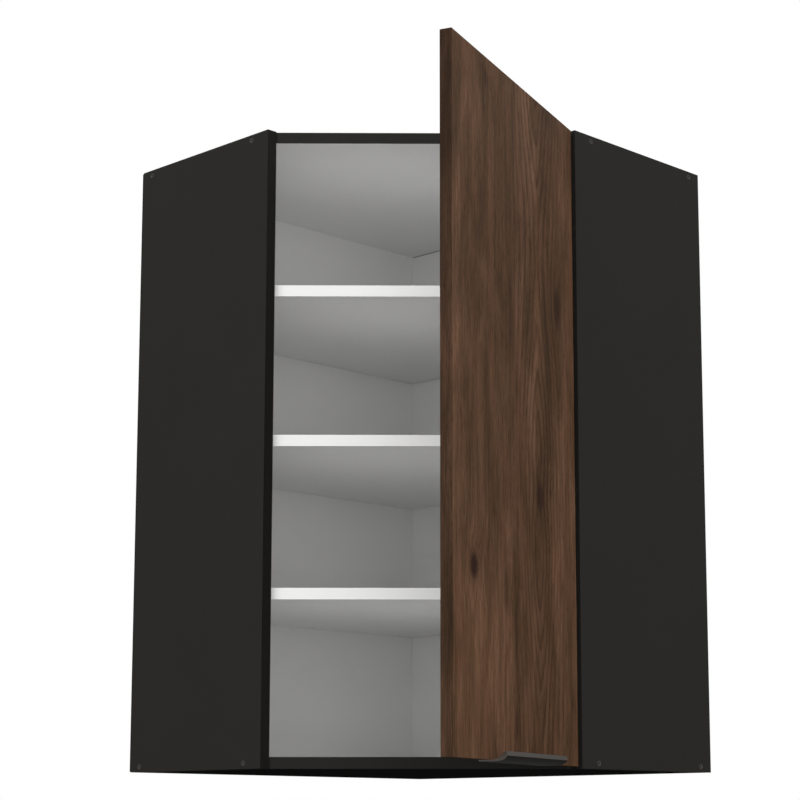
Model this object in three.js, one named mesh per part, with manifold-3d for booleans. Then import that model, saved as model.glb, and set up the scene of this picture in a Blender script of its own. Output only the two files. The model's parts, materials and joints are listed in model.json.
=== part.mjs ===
// A diagonal corner wall cabinet with three loose shelves and one hinged door, in millimetres, +Z up.
// The walls meet at the origin, at the level of the underside. The front faces -Y.
// The carcass is drawn in plan coordinates: u is the distance from the left wall, v from the right wall.
import * as THREE from 'three';
import { mergeVertices } from 'three/addons/utils/BufferGeometryUtils.js';
import Module from 'manifold-3d';

const wasm = await Module();
wasm.setup();

// Carcass
const HEIGHT = 900;
const WALL_RUN = 596; // along each wall, from the corner to the outside of a side panel
const SIDE_DEPTH = 288; // from the wall to the front edge of a side panel
const BOARD = 16;
const BACK_SHEET = 3; // the hardboard back on the left wall
const BACK_SHEET_INSET = 1; // the sheet stops this far inside the carcass on every edge
const BACK_BOARD_INSET = 3; // the right back board sits this far off the wall
const BACK_BOARD_TOP_GAP = 1;
const DECK_SETBACK = 3.2; // top and bottom panels, behind the line between the side panels' inner corners
const SHELF_SETBACK = 15.5; // shelves, behind the same line
const GAP = 0.3; // between pieces that touch

// Shelves
const SHELF_COUNT = 3;
const FIRST_SHELF = 232.5; // underside of the lowest shelf
const SHELF_PITCH = 215.3;
const SHELF_CLEARANCE = 1.5; // round a shelf
const PIN_FROM_FRONT = 37;
const PIN_FROM_WALL = 52;
const BACK_PIN_FROM_WALL = 150;
const PIN_BORE_DEPTH = 10;
const PIN_RADIUS = 2.5;
const PIN_REACH = 9;
const PIN_COLLAR = 1;
const PIN_CHAMFER = 0.7;
const PIN_COLLAR_RADIUS = 3.6;

// Door, drawn closed, then opened about its hinge pins
const DOOR_REVEAL = 6.8; // from each side panel's outer corner to the closed door's edge
const DOOR_THICKNESS = 16;
const DOOR_BOTTOM_GAP = 3;
const DOOR_TOP_GAP = 1;
const DOOR_NEST = 3; // how far the closed door's inner face sits behind the side panels' outer corners
const DOOR_OPEN = 65; // degrees open, as it rests
const PIVOT_FROM_EDGE = 10;
const DOOR_EASE = 0.8; // chamfer along the door's long outer edges

// Hinges
const HINGE_FROM_END = 100;
const CUP_RADIUS = 17.5;
const CUP_DEPTH = 12.5;
const CUP_WALL = 1;
const CUP_FROM_PIVOT = 12.5;
const CUP_RIM = 1.5;
const WING_SPACING = 48;
const WING_OFFSET = 9.5; // from the cup's centre towards the middle of the door
const WING_RADIUS = 6;
const HINGE_PIN_RADIUS = 1.5;
const HINGE_PIN_RUNNING = 0.1;
const EYE_WALL = 1.4;
const EAR_CLEARANCE = 0.8; // between the arm's eye and the cup's two ears, which hold the pin
const EAR_THICKNESS = 2.2;
const EAR_TO_EDGE = 2.2; // an ear's reach from the pin towards the door's edge
const EAR_TO_MIDDLE = 3.4;
const EAR_ABOVE_PIN = 2.8;
const HOOK_REACH = 15;
const ARM_THICKNESS = 2.4;
const ARM_HALF_WIDTH = 5;
const ARM_STANDOFF = 14.8; // the arm's centre plane, off the side panel
const CHANNEL_LENGTH = 50; // centred over the plate
const CHANNEL_WALL = 1.5;
const CHANNEL_DEPTH = 8.5;
const PLATE_FROM_FRONT = 37;
const PLATE_THICKNESS = 2;
const PLATE_SPACING = 32;
const PLATE_WING_RADIUS = 7;
const SADDLE_LENGTH = 44;
const SADDLE_HALF_WIDTH = 5;
const SADDLE_HEIGHT = 11;
const CHANNEL_CLEARANCE = 0.6;

// Handle: a metal edge pull under the door's lower edge
const HANDLE_LENGTH = 207;
const HANDLE_SHEET = 1.8; // the flat base that is screwed under the door
const HANDLE_UNDER = 13; // how far the base reaches under the door
const HANDLE_PROJECTION = 25; // out from the door's face, as the four distances below it are
const HANDLE_BELLY_START = 6; // where the underside leaves the flat
const HANDLE_BELLY_CORNER = 21.5; // the corner that the underside's curve rounds off
const HANDLE_SCOOP_START = 4; // where the upper side leaves the flat
const HANDLE_SCOOP_CORNER = 10.5; // the corner that the finger scoop's curve rounds off
const HANDLE_HEIGHT = 12.1; // from the base's underside to the top of the lip
const HANDLE_LIP = 5.5; // height of the lip's flat outer face
const HANDLE_LEAN = 1.2; // how far that face leans back at its top
const HANDLE_RIM = 1.5; // thickness of the lip's top
const HANDLE_CURVE_STEPS = 8;
const HANDLE_SCREW_FROM_END = 25;

// Carcass screws
const SCREW_FROM_FRONT = 35;
const SCREW_FROM_WALL = 24;

// Hanging brackets, one in each upper corner at the walls
const HANGER_FROM_WALL = 21;
const HANGER_DEPTH = 46;
const HANGER_HEIGHT = 58;
const HANGER_THICKNESS = 18;
const HANGER_BELOW_TOP = 6;
const HANGER_SCREW_SPACING = 34;
const HANGER_SCREW_STAGGER = 5; // each screw's distance from the housing's middle, along the wall
const HANGER_FLOOR = 2; // the housing's base under the screw heads
const HANGER_CORNER = 5;
const HOOK_PLATE = 2.5;
const HOOK_BAR = 10;
const HOOK_DROP = 12;
const HOOK_LIP = 3;
const HOOK_INSIDE = 14; // how far the hook plate runs into its housing
const HOOK_FROM_WALL = 0.6;
const HOOK_BELOW_TOP = 11; // below the housing's top
const WINDOW_MARGIN = 5; // above and below the hook, in both backs
const WINDOW_WIDTH = 28; // off the side panel
const HANGER_WELL_MARGIN = 1; // round the screw heads, sunk in the housing

// Screws: radii, lengths and sockets
const CONFIRMAT = { head: 3.6, headHeight: 3, shank: 2.5, core: 1.9, plain: 18, length: 50, socket: 1.8 };
const WOOD_SCREW = { head: 3.2, headHeight: 1.7, shank: 1.75, core: 1.25, plain: 3, length: 14, socket: 1.2 };
const EDGE_SCREW = { head: 2.9, headHeight: 1.2, shank: 1.75, core: 1.25, plain: 4, length: 22, socket: 1.1 };
const ARM_SCREW = { head: 3.8, headHeight: 2, shank: 2.4, core: 2, plain: 3, length: 11, socket: 1.6 };
const THREAD_PITCH = 4.2;
const SCREW_SIDES = 10;
const SOCKET_DEPTH = 1;
const TIP = 1.5;

const SIDES = 14; // round pieces
const PIVOT_SIDES = 24; // the hinge pins and their eyes
const FINE_SIDES = 40; // the hinge cups
const LEAD = 1; // how far a cutting tool starts outside the face that it enters

// Materials
const graphite = new THREE.MeshStandardMaterial({ color: 0x2b2a27, roughness: 0.6, metalness: 0 });
const white = new THREE.MeshStandardMaterial({ color: 0xe4e4e2, roughness: 0.5, metalness: 0 });
const hardboard = new THREE.MeshStandardMaterial({ color: 0xe4e4e2, roughness: 0.7, metalness: 0 });
const walnut = new THREE.MeshStandardMaterial({ color: 0x553e30, roughness: 0.55, metalness: 0 });
const anodised = new THREE.MeshStandardMaterial({ color: 0x4c4a47, roughness: 0.35, metalness: 0.9 });
const nickel = new THREE.MeshStandardMaterial({ color: 0xb9b7b2, roughness: 0.3, metalness: 1 });
const zinc = new THREE.MeshStandardMaterial({ color: 0x8f8d88, roughness: 0.4, metalness: 1 });
const plastic = new THREE.MeshStandardMaterial({ color: 0xe6e5e1, roughness: 0.45, metalness: 0 });

// Levels and lines worked out from the sizes above
const ROOT_2 = Math.SQRT2;
const innerFace = WALL_RUN - BOARD; // a side panel's inner face, in u or v
const ceiling = HEIGHT - BOARD;
const backBoardFace = BACK_BOARD_INSET + BOARD;
const frontCornerX = (WALL_RUN - SIDE_DEPTH) / ROOT_2;
const frontCornerY = -(WALL_RUN + SIDE_DEPTH) / ROOT_2;
const frontLine = innerFace + SIDE_DEPTH; // u + v along the line between the side panels' inner corners
const doorRight = frontCornerX - DOOR_REVEAL; // the closed door is as wide to the left of x 0
const pivotX = doorRight - PIVOT_FROM_EDGE;
const pivotY = frontCornerY + DOOR_NEST - DOOR_THICKNESS / 2;
const doorTop = HEIGHT - DOOR_TOP_GAP;
const hingeHeights = { lower: HINGE_FROM_END, upper: HEIGHT - HINGE_FROM_END };
const plateAlong = SIDE_DEPTH - PLATE_FROM_FRONT; // the hinge plates' screws, from the wall
const hangerTop = ceiling - HANGER_BELOW_TOP;
const hangerMiddle = HANGER_FROM_WALL + HANGER_DEPTH / 2;
const hookTop = hangerTop - HOOK_BELOW_TOP;
const hookFoot = hookTop - HOOK_BAR - HOOK_DROP;
const earStart = ARM_HALF_WIDTH + EAR_CLEARANCE; // from the middle of the hinge, along its pin
const earEnd = earStart + EAR_THICKNESS;

// Placing. A frame sits on a face: x runs along it, y up or across it, and z out of it.
const PLUS_U = new THREE.Vector3(1, 0, 0);
const PLUS_V = new THREE.Vector3(0, -1, 0);
const MINUS_U = new THREE.Vector3(-1, 0, 0);
const MINUS_V = new THREE.Vector3(0, 1, 0);
const UP = new THREE.Vector3(0, 0, 1);
const DOWN = new THREE.Vector3(0, 0, -1);
const OUT_OF_DOOR = new THREE.Vector3(0, 1, 0);
const planPoint = (u, v, z) => new THREE.Vector3(u, -v, z);

const leftPanelFrame = { origin: planPoint(0, innerFace, 0), x: PLUS_U, y: UP, z: MINUS_V };
const rightPanelFrame = { origin: planPoint(innerFace, 0, 0), x: PLUS_V, y: UP, z: MINUS_U };
const backBoardFrame = { origin: planPoint(0, backBoardFace, 0), x: PLUS_U, y: UP, z: PLUS_V };
const doorInnerFrame = {
  origin: new THREE.Vector3(0, DOOR_THICKNESS / 2, 0), x: MINUS_U, y: UP, z: OUT_OF_DOOR,
};
const doorEdgeFrame = {
  origin: new THREE.Vector3(0, 0, DOOR_BOTTOM_GAP), x: MINUS_U, y: OUT_OF_DOOR, z: DOWN,
};

// Geometry helpers
function flipped(geometry) {
  const faces = geometry.index.array;
  for (let i = 0; i < faces.length; i += 3) {
    [faces[i], faces[i + 1]] = [faces[i + 1], faces[i]];
  }
  return geometry;
}

function merged(geometry) {
  const bare = geometry.clone();
  bare.deleteAttribute('normal');
  bare.deleteAttribute('uv');
  const joined = mergeVertices(bare, 1e-4);
  const faces = joined.index.array;
  const kept = [];
  for (let i = 0; i < faces.length; i += 3) {
    const [a, b, c] = faces.slice(i, i + 3);
    if (a !== b && b !== c && c !== a) kept.push(a, b, c);
  }
  joined.setIndex(kept);
  return joined;
}

function solidOf(geometry) {
  const mesh = merged(geometry);
  return new wasm.Manifold(new wasm.Mesh({
    numProp: 3,
    vertProperties: new Float32Array(mesh.attributes.position.array),
    triVerts: new Uint32Array(mesh.index.array),
  }));
}

function geometryOf(solid) {
  const mesh = solid.getMesh();
  const geometry = new THREE.BufferGeometry();
  geometry.setAttribute('position', new THREE.BufferAttribute(mesh.vertProperties, 3));
  geometry.setIndex(new THREE.BufferAttribute(mesh.triVerts, 1));
  return geometry;
}

function carved(geometry, cutters) {
  return geometryOf(cutters.reduce((solid, cutter) => solid.subtract(solidOf(cutter)), solidOf(geometry)));
}

function joined(...geometries) {
  return geometryOf(geometries.map(solidOf).reduce((solid, piece) => solid.add(piece)));
}

function block([x0, x1], [y0, y1], [z0, z1]) {
  const geometry = new THREE.BoxGeometry(x1 - x0, y1 - y0, z1 - z0);
  return geometry.translate((x0 + x1) / 2, (y0 + y1) / 2, (z0 + z1) / 2);
}

function prism(points, [z0, z1]) {
  const shape = new THREE.Shape(points.map(([x, y]) => new THREE.Vector2(x, y)));
  return new THREE.ExtrudeGeometry(shape, { depth: z1 - z0, bevelEnabled: false }).translate(0, 0, z0);
}

function planBlock([u0, u1], [v0, v1], levels) {
  return block([u0, u1], [-v1, -v0], levels);
}

function planPrism(points, levels) {
  return prism(points.map(([u, v]) => [u, -v]), levels);
}

function stadium(x, [y0, y1], radius, [z0, z1]) {
  const shape = new THREE.Shape();
  shape.absarc(x, y1, radius, 0, Math.PI);
  shape.absarc(x, y0, radius, Math.PI, 2 * Math.PI);
  const options = { depth: z1 - z0, bevelEnabled: false, curveSegments: SIDES / 2 };
  return new THREE.ExtrudeGeometry(shape, options).translate(0, 0, z0);
}

function rod(radius, [z0, z1], sides = SIDES) {
  const geometry = new THREE.CylinderGeometry(radius, radius, z1 - z0, sides);
  return geometry.rotateX(Math.PI / 2).translate(0, 0, (z0 + z1) / 2);
}

// A profile of [radius, height] turned about +Z; it runs anticlockwise from the axis back to the axis.
function turned(profile, sides = SIDES) {
  const points = profile.map(([radius, height]) => new THREE.Vector2(radius, height));
  return new THREE.LatheGeometry(points, sides).rotateX(Math.PI / 2);
}

function placed(geometry, frame, [x, y, z] = [0, 0, 0]) {
  const matrix = new THREE.Matrix4().makeBasis(frame.x, frame.y, frame.z).setPosition(frame.origin);
  const result = merged(geometry).translate(x, y, z).applyMatrix4(matrix);
  return matrix.determinant() < 0 ? flipped(result) : result;
}

// A strip of even thickness along a line of points, with mitred corners, as an outline.
function ribbon(points, thickness) {
  const directions = points.slice(1).map((point, i) => point.clone().sub(points[i]).normalize());
  const sideOf = (sign) => points.map((point, i) => {
    const before = directions[Math.max(i - 1, 0)];
    const after = directions[Math.min(i, directions.length - 1)];
    const along = before.clone().add(after).normalize();
    const across = new THREE.Vector2(-along.y, along.x);
    const reach = thickness / 2 / along.dot(after);
    return point.clone().addScaledVector(across, sign * reach);
  });
  return [...sideOf(1), ...sideOf(-1).reverse()].map(({ x, y }) => [x, y]);
}

// The model: one group for the carcass, turned so that u and v follow the walls, and one for the door
const cabinet = new THREE.Group();
const carcass = new THREE.Group();
carcass.rotation.z = -Math.PI / 4;
const leaf = new THREE.Group();
leaf.position.set(pivotX, pivotY, 0);
leaf.rotation.z = THREE.MathUtils.degToRad(DOOR_OPEN);
cabinet.add(carcass, leaf);

function add(name, geometry, material, group) {
  const mesh = new THREE.Mesh(geometry, material.clone());
  mesh.name = name;
  group.add(mesh);
}

// Fasteners. Each knows its frame, its head's place, the side its tip points to and the pieces it enters.
const fasteners = [];

// A screw's head is at z 0 and its tip points down -Z.
function screwBody({ head, headHeight, shank, core, plain, length, socket }) {
  const profile = [[0, -length], [core, TIP - length]];
  const threads = Math.floor((length - TIP - plain) / THREAD_PITCH);
  for (let i = 0; i < threads; i += 1) {
    const start = TIP - length + i * THREAD_PITCH;
    profile.push([shank, start + THREAD_PITCH / 2], [core, start + THREAD_PITCH]);
  }
  profile.push([shank, -plain], [shank, -headHeight], [head, -headHeight / 2], [head, 0], [0, 0]);
  const recess = new THREE.CylinderGeometry(socket, socket, SOCKET_DEPTH + LEAD, 6).rotateX(Math.PI / 2);
  return carved(turned(profile, SCREW_SIDES), [recess.translate(0, 0, (LEAD - SOCKET_DEPTH) / 2)]);
}

function screwHole({ head, headHeight, shank, length }) {
  return joined(rod(head + GAP, [-headHeight - GAP, LEAD]), rod(shank + GAP, [-length - GAP, LEAD]));
}

// A shelf pin's collar rests on the face at z 0, with the stem that carries the shelf above it.
function pinBody() {
  const seated = GAP - PIN_BORE_DEPTH;
  const tip = PIN_RADIUS - PIN_CHAMFER;
  return turned([
    [0, seated], [tip, seated], [PIN_RADIUS, seated + PIN_CHAMFER], [PIN_RADIUS, GAP / 2],
    [PIN_COLLAR_RADIUS, GAP / 2], [PIN_COLLAR_RADIUS, PIN_COLLAR], [PIN_RADIUS, PIN_COLLAR],
    [PIN_RADIUS, PIN_REACH - PIN_CHAMFER], [tip, PIN_REACH], [0, PIN_REACH],
  ]);
}

function pinHole() {
  return rod(PIN_RADIUS + GAP, [-PIN_BORE_DEPTH, LEAD]);
}

function tipFirst(geometry, inward) {
  return inward ? geometry.rotateX(Math.PI) : geometry;
}

function fasten({ name, body, hole, material, group, frame, at, inward = false, through }) {
  add(name, placed(tipFirst(body, inward), frame, at), material, group);
  fasteners.push({ through, hole: placed(tipFirst(hole, inward), frame, at) });
}

function holesIn(node) {
  return fasteners.filter(({ through }) => through.includes(node)).map(({ hole }) => hole);
}

function fastenCarcass() {
  const panels = { left: leftPanelFrame, right: rightPanelFrame };
  const levels = { bottom: BOARD / 2, top: HEIGHT - BOARD / 2 };
  const places = { rear: SCREW_FROM_WALL, front: SIDE_DEPTH - SCREW_FROM_FRONT };
  for (const [side, frame] of Object.entries(panels)) {
    for (const [level, height] of Object.entries(levels)) {
      for (const [place, along] of Object.entries(places)) {
        fasten({
          name: `confirmat_${side}_${level}_${place}`, body: screwBody(CONFIRMAT), hole: screwHole(CONFIRMAT),
          material: zinc, group: carcass, frame, at: [along, height, -BOARD], inward: true,
          through: [`side_panel_${side}`, `${level}_panel`],
        });
      }
    }
  }
}

const shelfNames = Array.from({ length: SHELF_COUNT }, (_, i) => `shelf_${i + 1}`);
const shelfLevel = (i) => FIRST_SHELF + i * SHELF_PITCH;

function fastenShelfPins() {
  const places = {
    left_rear: [leftPanelFrame, PIN_FROM_WALL, 'side_panel_left'],
    left_front: [leftPanelFrame, SIDE_DEPTH - PIN_FROM_FRONT, 'side_panel_left'],
    right_front: [rightPanelFrame, SIDE_DEPTH - PIN_FROM_FRONT, 'side_panel_right'],
    back: [backBoardFrame, BACK_PIN_FROM_WALL, 'back_panel_right'],
  };
  shelfNames.forEach((shelf, i) => {
    const height = shelfLevel(i) - GAP - PIN_RADIUS;
    for (const [place, [frame, along, board]] of Object.entries(places)) {
      fasten({
        name: `${shelf}_pin_${place}`, body: pinBody(), hole: pinHole(), material: nickel,
        group: carcass, frame, at: [along, height, 0], through: [board],
      });
    }
  });
}

function fastenHinges() {
  for (const [level, height] of Object.entries(hingeHeights)) {
    for (const [end, offset] of [['low', -1], ['high', 1]]) {
      fasten({
        name: `hinge_plate_screw_${level}_${end}`, body: screwBody(WOOD_SCREW), hole: screwHole(WOOD_SCREW),
        material: zinc, group: carcass, frame: rightPanelFrame,
        at: [plateAlong, height + offset * PLATE_SPACING / 2, GAP + PLATE_THICKNESS],
        through: [`hinge_plate_${level}`, 'side_panel_right'],
      });
      fasten({
        name: `hinge_cup_screw_${level}_${end}`, body: screwBody(WOOD_SCREW), hole: screwHole(WOOD_SCREW),
        material: zinc, group: leaf, frame: doorInnerFrame,
        at: [CUP_FROM_PIVOT + WING_OFFSET, height + offset * WING_SPACING / 2, GAP + CUP_WALL + GAP],
        through: [`hinge_cup_${level}`, 'door'],
      });
    }
    fasten({
      name: `hinge_arm_screw_${level}`, body: screwBody(ARM_SCREW), hole: screwHole(ARM_SCREW),
      material: zinc, group: carcass, frame: rightPanelFrame,
      at: [plateAlong, height, ARM_STANDOFF + ARM_THICKNESS / 2],
      through: [`hinge_arm_${level}`, `hinge_plate_${level}`],
    });
  }
}

function fastenHandle() {
  const reach = HANDLE_LENGTH / 2 - HANDLE_SCREW_FROM_END;
  for (const [end, along] of [['left', pivotX + reach], ['right', pivotX - reach]]) {
    fasten({
      name: `handle_screw_${end}`, body: screwBody(EDGE_SCREW), hole: screwHole(EDGE_SCREW), material: zinc,
      group: leaf, frame: doorEdgeFrame, at: [along, 0, GAP + HANDLE_SHEET], through: ['handle', 'door'],
    });
  }
}

function fastenHangers() {
  for (const [side, frame] of [['left', leftPanelFrame], ['right', rightPanelFrame]]) {
    for (const [end, offset] of [['low', -1], ['high', 1]]) {
      const height = hangerTop - HANGER_HEIGHT / 2 + offset * HANGER_SCREW_SPACING / 2;
      fasten({
        name: `hanger_screw_${side}_${end}`, body: screwBody(WOOD_SCREW), hole: screwHole(WOOD_SCREW),
        material: zinc, group: carcass, frame,
        at: [hangerMiddle + offset * HANGER_SCREW_STAGGER, height, GAP + HANGER_FLOOR],
        through: [`hanger_${side}`, `side_panel_${side}`],
      });
    }
  }
}

// Boards
function windowIn([depth0, depth1]) {
  const levels = [hookFoot - WINDOW_MARGIN, hookTop + WINDOW_MARGIN];
  return block([depth0 - LEAD, depth1 + LEAD], levels, [-GAP, WINDOW_WIDTH]);
}

function buildSides() {
  const left = planBlock([BACK_SHEET + GAP, SIDE_DEPTH], [innerFace, WALL_RUN], [0, HEIGHT]);
  const right = planBlock([innerFace, WALL_RUN], [0, SIDE_DEPTH], [0, HEIGHT]);
  add('side_panel_left', carved(left, holesIn('side_panel_left')), graphite, carcass);
  add('side_panel_right', carved(right, holesIn('side_panel_right')), graphite, carcass);
}

// The five-sided outline that the top, the bottom and the shelves share.
function deckOutline(u0, v0, clearance, setback) {
  const end = innerFace - clearance;
  const line = frontLine - setback * ROOT_2;
  return [[u0, v0], [end, v0], [end, line - end], [line - end, end], [u0, end]];
}

function buildDecks() {
  const outline = deckOutline(BACK_SHEET + GAP, 0, GAP, DECK_SETBACK);
  const bottom = planPrism(outline, [0, BOARD]);
  const top = planPrism(outline, [ceiling, HEIGHT]);
  add('bottom_panel', carved(bottom, holesIn('bottom_panel')), graphite, carcass);
  add('top_panel', carved(top, holesIn('top_panel')), graphite, carcass);
}

function buildBacks() {
  const edge = BACK_SHEET_INSET;
  const sheet = planBlock([0, BACK_SHEET], [edge, WALL_RUN - edge], [edge, HEIGHT - edge]);
  const board = planBlock(
    [BACK_SHEET + GAP, innerFace - GAP], [BACK_BOARD_INSET, backBoardFace],
    [BOARD + GAP, ceiling - BACK_BOARD_TOP_GAP],
  );
  const sheetWindow = placed(windowIn([0, BACK_SHEET]), leftPanelFrame);
  const boardWindow = placed(windowIn([BACK_BOARD_INSET, backBoardFace]), rightPanelFrame);
  add('back_panel_left', carved(sheet, [sheetWindow]), hardboard, carcass);
  add('back_panel_right', carved(board, [boardWindow, ...holesIn('back_panel_right')]), white, carcass);
}

function buildShelves() {
  const outline = deckOutline(
    BACK_SHEET + SHELF_CLEARANCE, backBoardFace + SHELF_CLEARANCE, SHELF_CLEARANCE, SHELF_SETBACK,
  );
  shelfNames.forEach((name, i) => {
    add(name, planPrism(outline, [shelfLevel(i), shelfLevel(i) + BOARD]), white, carcass);
  });
}

// Door. In its group the hinge pins are at x 0, y 0, and the closed door runs along -X.
function buildDoor() {
  const half = DOOR_THICKNESS / 2;
  const free = -doorRight - pivotX;
  const ease = DOOR_EASE;
  const outline = [
    [free, -half + ease], [free + ease, -half], [PIVOT_FROM_EDGE - ease, -half],
    [PIVOT_FROM_EDGE, -half + ease], [PIVOT_FROM_EDGE, half], [free, half],
  ];
  const cups = Object.values(hingeHeights).map((height) => placed(
    rod(CUP_RADIUS + GAP, [-CUP_DEPTH - GAP, LEAD], FINE_SIDES), doorInnerFrame, [CUP_FROM_PIVOT, height, 0],
  ));
  const leafBoard = prism(outline, [DOOR_BOTTOM_GAP, doorTop]);
  add('door', carved(leafBoard, [...cups, ...holesIn('door')]), walnut, leaf);
}

// The pull's section: x runs out from the door's face and y up from the base's underside. It goes out
// under the door, curves up to a leaning lip and scoops back down to the base.
function handleOutline() {
  const lipTop = HANDLE_PROJECTION - HANDLE_LEAN;
  const section = new THREE.Path();
  section.moveTo(-HANDLE_UNDER, 0);
  section.lineTo(HANDLE_BELLY_START, 0);
  section.quadraticCurveTo(HANDLE_BELLY_CORNER, 0, HANDLE_PROJECTION, HANDLE_HEIGHT - HANDLE_LIP);
  section.lineTo(lipTop, HANDLE_HEIGHT);
  section.lineTo(lipTop - HANDLE_RIM, HANDLE_HEIGHT);
  section.quadraticCurveTo(HANDLE_SCOOP_CORNER, HANDLE_SHEET, HANDLE_SCOOP_START, HANDLE_SHEET);
  section.lineTo(-HANDLE_UNDER, HANDLE_SHEET);
  return section.getPoints(HANDLE_CURVE_STEPS).map(({ x, y }) => [x, y]);
}

function buildHandle() {
  const bottom = DOOR_BOTTOM_GAP - GAP - HANDLE_SHEET;
  const origin = new THREE.Vector3(0, -DOOR_THICKNESS / 2, bottom);
  const frame = { origin, x: OUT_OF_DOOR.clone().negate(), y: UP, z: MINUS_U };
  const ends = [pivotX - HANDLE_LENGTH / 2, pivotX + HANDLE_LENGTH / 2];
  add('handle', carved(placed(prism(handleOutline(), ends), frame), holesIn('handle')), anodised, leaf);
}

// Hinges. The cup and pin turn with the door; the arm and its plate stay on the right side panel.
function hingeCup() {
  const inside = CUP_RADIUS - CUP_WALL;
  const shell = turned([
    [0, -CUP_DEPTH], [CUP_RADIUS, -CUP_DEPTH], [CUP_RADIUS, GAP], [CUP_RADIUS + CUP_RIM, GAP],
    [CUP_RADIUS + CUP_RIM, GAP + CUP_WALL], [inside, GAP + CUP_WALL],
    [inside, CUP_WALL - CUP_DEPTH], [0, CUP_WALL - CUP_DEPTH],
  ], FINE_SIDES);
  const wings = stadium(
    WING_OFFSET, [-WING_SPACING / 2, WING_SPACING / 2], WING_RADIUS, [GAP, GAP + CUP_WALL],
  );
  const mouth = rod(inside, [GAP - LEAD, GAP + CUP_WALL + LEAD], FINE_SIDES);
  const ears = [-1, 1].map((side) => block(
    [-EAR_TO_EDGE - CUP_FROM_PIVOT, EAR_TO_MIDDLE - CUP_FROM_PIVOT],
    [side * earStart, side * earEnd].sort((a, b) => a - b),
    [CUP_WALL / 2 - CUP_DEPTH, EAR_ABOVE_PIN - DOOR_THICKNESS / 2],
  ));
  return joined(shell, carved(wings, [mouth]), ...ears);
}

function armOutline() {
  const toPlan = (x, y) => new THREE.Vector2((x - y) / ROOT_2, -(x + y) / ROOT_2);
  const eye = toPlan(pivotX, pivotY);
  const hook = toPlan(pivotX - HOOK_REACH, pivotY);
  const armU = innerFace - ARM_STANDOFF;
  const rise = hook.x - armU; // the middle stretch runs at 45 degrees in plan, so u and v fall alike
  const bend = new THREE.Vector2(armU, hook.y - rise);
  const end = new THREE.Vector2(armU, plateAlong - CHANNEL_LENGTH / 2);
  return { eye, line: [eye, hook, bend, end] };
}

function hingeArm(height) {
  const { eye, line } = armOutline();
  const across = [height - ARM_HALF_WIDTH, height + ARM_HALF_WIDTH];
  const strip = planPrism(ribbon(line, ARM_THICKNESS), across);
  const eyeRadius = HINGE_PIN_RADIUS + HINGE_PIN_RUNNING + EYE_WALL;
  const eyeAt = (radius, levels) => rod(radius, levels, PIVOT_SIDES).translate(eye.x, -eye.y, 0);
  const inside = SADDLE_HALF_WIDTH + CHANNEL_CLEARANCE;
  const outside = inside + CHANNEL_WALL;
  const runs = [plateAlong - CHANNEL_LENGTH / 2, plateAlong + CHANNEL_LENGTH / 2];
  const middle = innerFace - ARM_STANDOFF;
  const web = planBlock(
    [middle - ARM_THICKNESS / 2, middle + ARM_THICKNESS / 2], runs, [height - outside, height + outside],
  );
  const walls = [[inside, outside], [-outside, -inside]].map(([low, high]) => planBlock(
    [middle, middle + CHANNEL_DEPTH], runs, [height + low, height + high],
  ));
  const whole = joined(strip, eyeAt(eyeRadius, across), web, ...walls);
  return carved(whole, [eyeAt(HINGE_PIN_RADIUS + HINGE_PIN_RUNNING, [across[0] - LEAD, across[1] + LEAD])]);
}

function hingePlate(height) {
  const wings = stadium(
    plateAlong, [height - PLATE_SPACING / 2, height + PLATE_SPACING / 2], PLATE_WING_RADIUS,
    [GAP, GAP + PLATE_THICKNESS],
  );
  const saddle = block(
    [plateAlong - SADDLE_LENGTH / 2, plateAlong + SADDLE_LENGTH / 2],
    [height - SADDLE_HALF_WIDTH, height + SADDLE_HALF_WIDTH], [GAP, SADDLE_HEIGHT],
  );
  return placed(joined(wings, saddle), rightPanelFrame);
}

function buildHinges() {
  for (const [level, height] of Object.entries(hingeHeights)) {
    const cup = placed(hingeCup(), doorInnerFrame, [CUP_FROM_PIVOT, height, 0]);
    const pinBore = rod(HINGE_PIN_RADIUS + GAP, [height - earEnd - LEAD / 2, height + earEnd + LEAD / 2]);
    add(`hinge_cup_${level}`, carved(cup, [pinBore, ...holesIn(`hinge_cup_${level}`)]), nickel, leaf);
    add(`hinge_pin_${level}`, rod(HINGE_PIN_RADIUS, [height - earEnd, height + earEnd], PIVOT_SIDES), zinc, leaf);
    add(`hinge_arm_${level}`, carved(hingeArm(height), holesIn(`hinge_arm_${level}`)), nickel, carcass);
    add(`hinge_plate_${level}`, carved(hingePlate(height), holesIn(`hinge_plate_${level}`)), nickel, carcass);
  }
}

// Hanging brackets. In a side panel's frame x is the distance from the wall and z the distance off the panel.
function hangerHousing() {
  const radius = HANGER_CORNER;
  const [x0, x1] = [HANGER_FROM_WALL + radius, HANGER_FROM_WALL + HANGER_DEPTH - radius];
  const [y0, y1] = [hangerTop - HANGER_HEIGHT + radius, hangerTop - radius];
  const shape = new THREE.Shape();
  shape.absarc(x1, y1, radius, 0, Math.PI / 2);
  shape.absarc(x0, y1, radius, Math.PI / 2, Math.PI);
  shape.absarc(x0, y0, radius, Math.PI, Math.PI * 1.5);
  shape.absarc(x1, y0, radius, Math.PI * 1.5, Math.PI * 2);
  const options = { depth: HANGER_THICKNESS - GAP, bevelEnabled: false, curveSegments: SIDES / 2 };
  return new THREE.ExtrudeGeometry(shape, options).translate(0, 0, GAP);
}

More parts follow.
